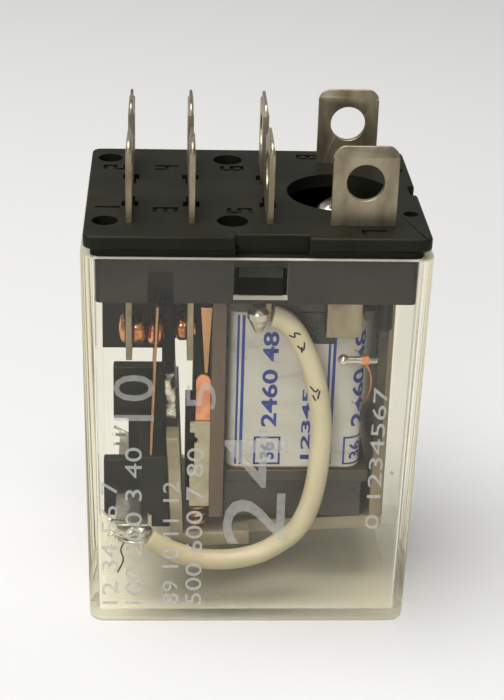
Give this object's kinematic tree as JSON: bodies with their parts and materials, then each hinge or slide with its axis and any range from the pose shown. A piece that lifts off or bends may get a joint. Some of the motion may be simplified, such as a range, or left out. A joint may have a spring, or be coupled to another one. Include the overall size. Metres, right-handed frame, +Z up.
{
  "type": "plug in relay",
  "caption": "Plug-in power relay: clear rectangular cover, black base with flat blades, coil, hinged armature and changeover contacts inside.",
  "frame": {"origin": "centre of the closed end of the cover, the face the relay stands on", "axes": "+Z up along the blades, +X from the contact columns to the coil, -Y out of the front face with the latch window"},
  "size_m": [0.028, 0.0216, 0.0426],
  "materials": {
    "clear_cover": "clear polycarbonate, glossy",
    "black_plastic": "black moulded thermoplastic, satin",
    "tinned_brass": "tin plated brass, slightly dull",
    "contact_copper": "bright copper alloy rivet",
    "iron_plated": "plated iron, dull",
    "armature_iron": "plated iron, sheared edges",
    "copper": "bare copper",
    "enamelled_copper": "enamelled wire, wound",
    "label_paper": "white tape printed blue",
    "black_tape": "crinkled black tape",
    "smoked_plastic": "smoked brown insulation",
    "cream_plastic": "cream moulding",
    "spring_bronze": "phosphor bronze strip",
    "solder": "bright solder",
    "wire_insulation": "cream sleeve, slightly glossy"
  },
  "bodies": {
    "housing": {"cover": "clear_cover", "base": "black_plastic", "terminal_nc_front": "tinned_brass", "terminal_nc_rear": "tinned_brass", "terminal_no_front": "tinned_brass", "terminal_no_rear": "tinned_brass", "terminal_com_front": "tinned_brass", "terminal_com_rear": "tinned_brass", "terminal_coil_front": "tinned_brass", "terminal_coil_rear": "tinned_brass", "contact_nc_front": "contact_copper", "contact_nc_rear": "contact_copper", "contact_no_front": "contact_copper", "contact_no_rear": "contact_copper", "yoke": "iron_plated", "yoke_stud": "iron_plated", "core": "iron_plated", "shading_ring": "copper", "bobbin": "black_plastic", "winding": "enamelled_copper", "coil_label": "label_paper", "insulating_tape": "black_tape", "coil_pins": "solder", "coil_lead_front": "copper", "coil_lead_rear": "copper", "coil_barrier": "smoked_plastic", "spring_bracket": "cream_plastic", "copper_strap": "copper", "tapered_tongue": "spring_bronze", "com_solder_front": "solder", "com_solder_rear": "solder", "lead_wire_front": "wire_insulation", "lead_wire_rear": "wire_insulation", "return_spring": "spring_bronze"},
    "armature": {"armature": "armature_iron", "carrier": "black_plastic", "contact_spring_front": "spring_bronze", "contact_spring_rear": "spring_bronze", "moving_contact_front": "contact_copper", "moving_contact_rear": "contact_copper", "spring_solder_front": "solder", "spring_solder_rear": "solder"}
  },
  "joints": [
    {"name": "armature_hinge", "type": "hinge", "parent": "housing", "child": "armature", "pos_m": [0.0118, 0, 0.00808], "axis": [0, 1, 0], "range_deg": [0, 2.5], "stiffness_Nm_per_rad": 0.02, "springref_deg": -20.05, "deforming": ["return_spring", "lead_wire_front", "lead_wire_rear"]}
  ]
}
